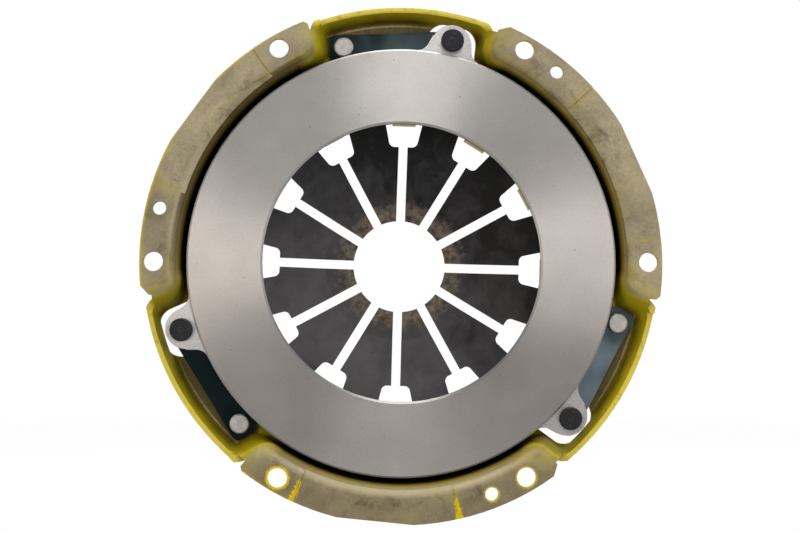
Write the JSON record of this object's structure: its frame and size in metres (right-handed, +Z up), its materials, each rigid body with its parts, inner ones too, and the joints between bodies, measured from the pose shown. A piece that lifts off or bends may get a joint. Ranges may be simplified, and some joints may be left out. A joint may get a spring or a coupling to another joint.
{
  "type": "clutch pressure plate assembly",
  "caption": "Round clutch cover with a sliding cast pressure plate, a diaphragm spring and riveted drive straps, bolted to a flywheel.",
  "frame": {"origin": "centre of the bolt circle on the face of the cover's flange that meets the flywheel", "axes": "-Y points along the clutch axis towards the flywheel, +X runs through a flange bolt hole, +Z is up as in the picture"},
  "size_m": [0.2428, 0.0435, 0.2422],
  "materials": {
    "cover_steel": "passivated steel sheet, semi-matte",
    "cast_iron": "ground face on a cast body",
    "spring_steel": "oiled and tempered, dark",
    "ring_wire": "drawn wire",
    "strap_steel": "blued spring steel",
    "lug_rivet_steel": "blackened",
    "cover_rivet_steel": "pale matte plated"
  },
  "bodies": {
    "cover_assembly": {"cover": "cover_steel", "fulcrum_ring": "ring_wire", "cover_rivets": "cover_rivet_steel", "strap_1_leaf_1": "strap_steel", "strap_1_leaf_2": "strap_steel", "strap_1_leaf_3": "strap_steel", "strap_2_leaf_1": "strap_steel", "strap_2_leaf_2": "strap_steel", "strap_2_leaf_3": "strap_steel", "strap_3_leaf_1": "strap_steel", "strap_3_leaf_2": "strap_steel", "strap_3_leaf_3": "strap_steel"},
    "plate_assembly": {"pressure_plate": "cast_iron", "lug_rivets": "lug_rivet_steel"},
    "diaphragm_finger_01": {"diaphragm_finger_01": "spring_steel"},
    "diaphragm_finger_02": {"diaphragm_finger_02": "spring_steel"},
    "diaphragm_finger_03": {"diaphragm_finger_03": "spring_steel"},
    "diaphragm_finger_04": {"diaphragm_finger_04": "spring_steel"},
    "diaphragm_finger_05": {"diaphragm_finger_05": "spring_steel"},
    "diaphragm_finger_06": {"diaphragm_finger_06": "spring_steel"},
    "diaphragm_finger_07": {"diaphragm_finger_07": "spring_steel"},
    "diaphragm_finger_08": {"diaphragm_finger_08": "spring_steel"},
    "diaphragm_finger_09": {"diaphragm_finger_09": "spring_steel"},
    "diaphragm_finger_10": {"diaphragm_finger_10": "spring_steel"},
    "diaphragm_finger_11": {"diaphragm_finger_11": "spring_steel"},
    "diaphragm_finger_12": {"diaphragm_finger_12": "spring_steel"}
  },
  "joints": [
    {"name": "plate_slide", "type": "slide", "parent": "cover_assembly", "child": "plate_assembly", "axis": [0, 1, 0], "range_m": [0, 0.004], "stiffness_N_per_m": 20000, "deforming": ["strap_1_leaf_1", "strap_1_leaf_2", "strap_1_leaf_3", "strap_2_leaf_1", "strap_2_leaf_2", "strap_2_leaf_3", "strap_3_leaf_1", "strap_3_leaf_2", "strap_3_leaf_3"]},
    {"name": "finger_01_tilt", "type": "hinge", "parent": "cover_assembly", "child": "diaphragm_finger_01", "pos_m": [0.07097, 0.0349, 0.01665], "axis": [-0.2284, 0, 0.9736], "range_deg": [0, 15.75]},
    {"name": "finger_02_tilt", "type": "hinge", "parent": "cover_assembly", "child": "diaphragm_finger_02", "pos_m": [0.05314, 0.0349, 0.0499], "axis": [-0.6845, 0, 0.729], "range_deg": [0, 15.75]},
    {"name": "finger_03_tilt", "type": "hinge", "parent": "cover_assembly", "child": "diaphragm_finger_03", "pos_m": [0.02107, 0.0349, 0.06979], "axis": [-0.9573, 0, 0.289], "range_deg": [0, 15.75]},
    {"name": "finger_04_tilt", "type": "hinge", "parent": "cover_assembly", "child": "diaphragm_finger_04", "pos_m": [-0.01665, 0.0349, 0.07097], "axis": [-0.9736, 0, -0.2284], "range_deg": [0, 15.75]},
    {"name": "finger_05_tilt", "type": "hinge", "parent": "cover_assembly", "child": "diaphragm_finger_05", "pos_m": [-0.0499, 0.0349, 0.05314], "axis": [-0.729, 0, -0.6845], "range_deg": [0, 15.75]},
    {"name": "finger_06_tilt", "type": "hinge", "parent": "cover_assembly", "child": "diaphragm_finger_06", "pos_m": [-0.06979, 0.0349, 0.02107], "axis": [-0.289, 0, -0.9573], "range_deg": [0, 15.75]},
    {"name": "finger_07_tilt", "type": "hinge", "parent": "cover_assembly", "child": "diaphragm_finger_07", "pos_m": [-0.07097, 0.0349, -0.01665], "axis": [0.2284, 0, -0.9736], "range_deg": [0, 15.75]},
    {"name": "finger_08_tilt", "type": "hinge", "parent": "cover_assembly", "child": "diaphragm_finger_08", "pos_m": [-0.05314, 0.0349, -0.0499], "axis": [0.6845, 0, -0.729], "range_deg": [0, 15.75]},
    {"name": "finger_09_tilt", "type": "hinge", "parent": "cover_assembly", "child": "diaphragm_finger_09", "pos_m": [-0.02107, 0.0349, -0.06979], "axis": [0.9573, 0, -0.289], "range_deg": [0, 15.75]},
    {"name": "finger_10_tilt", "type": "hinge", "parent": "cover_assembly", "child": "diaphragm_finger_10", "pos_m": [0.01665, 0.0349, -0.07097], "axis": [0.9736, 0, 0.2284], "range_deg": [0, 15.75]},
    {"name": "finger_11_tilt", "type": "hinge", "parent": "cover_assembly", "child": "diaphragm_finger_11", "pos_m": [0.0499, 0.0349, -0.05314], "axis": [0.729, 0, 0.6845], "range_deg": [0, 15.75]},
    {"name": "finger_12_tilt", "type": "hinge", "parent": "cover_assembly", "child": "diaphragm_finger_12", "pos_m": [0.06979, 0.0349, -0.02107], "axis": [0.289, 0, 0.9573], "range_deg": [0, 15.75]}
  ],
  "couplings": [
    {"joint": "finger_01_tilt", "follows": "plate_slide", "rad_per_m": 68.493},
    {"joint": "finger_02_tilt", "follows": "plate_slide", "rad_per_m": 68.493},
    {"joint": "finger_03_tilt", "follows": "plate_slide", "rad_per_m": 68.493},
    {"joint": "finger_04_tilt", "follows": "plate_slide", "rad_per_m": 68.493},
    {"joint": "finger_05_tilt", "follows": "plate_slide", "rad_per_m": 68.493},
    {"joint": "finger_06_tilt", "follows": "plate_slide", "rad_per_m": 68.493},
    {"joint": "finger_07_tilt", "follows": "plate_slide", "rad_per_m": 68.493},
    {"joint": "finger_08_tilt", "follows": "plate_slide", "rad_per_m": 68.493},
    {"joint": "finger_09_tilt", "follows": "plate_slide", "rad_per_m": 68.493},
    {"joint": "finger_10_tilt", "follows": "plate_slide", "rad_per_m": 68.493},
    {"joint": "finger_11_tilt", "follows": "plate_slide", "rad_per_m": 68.493},
    {"joint": "finger_12_tilt", "follows": "plate_slide", "rad_per_m": 68.493}
  ]
}
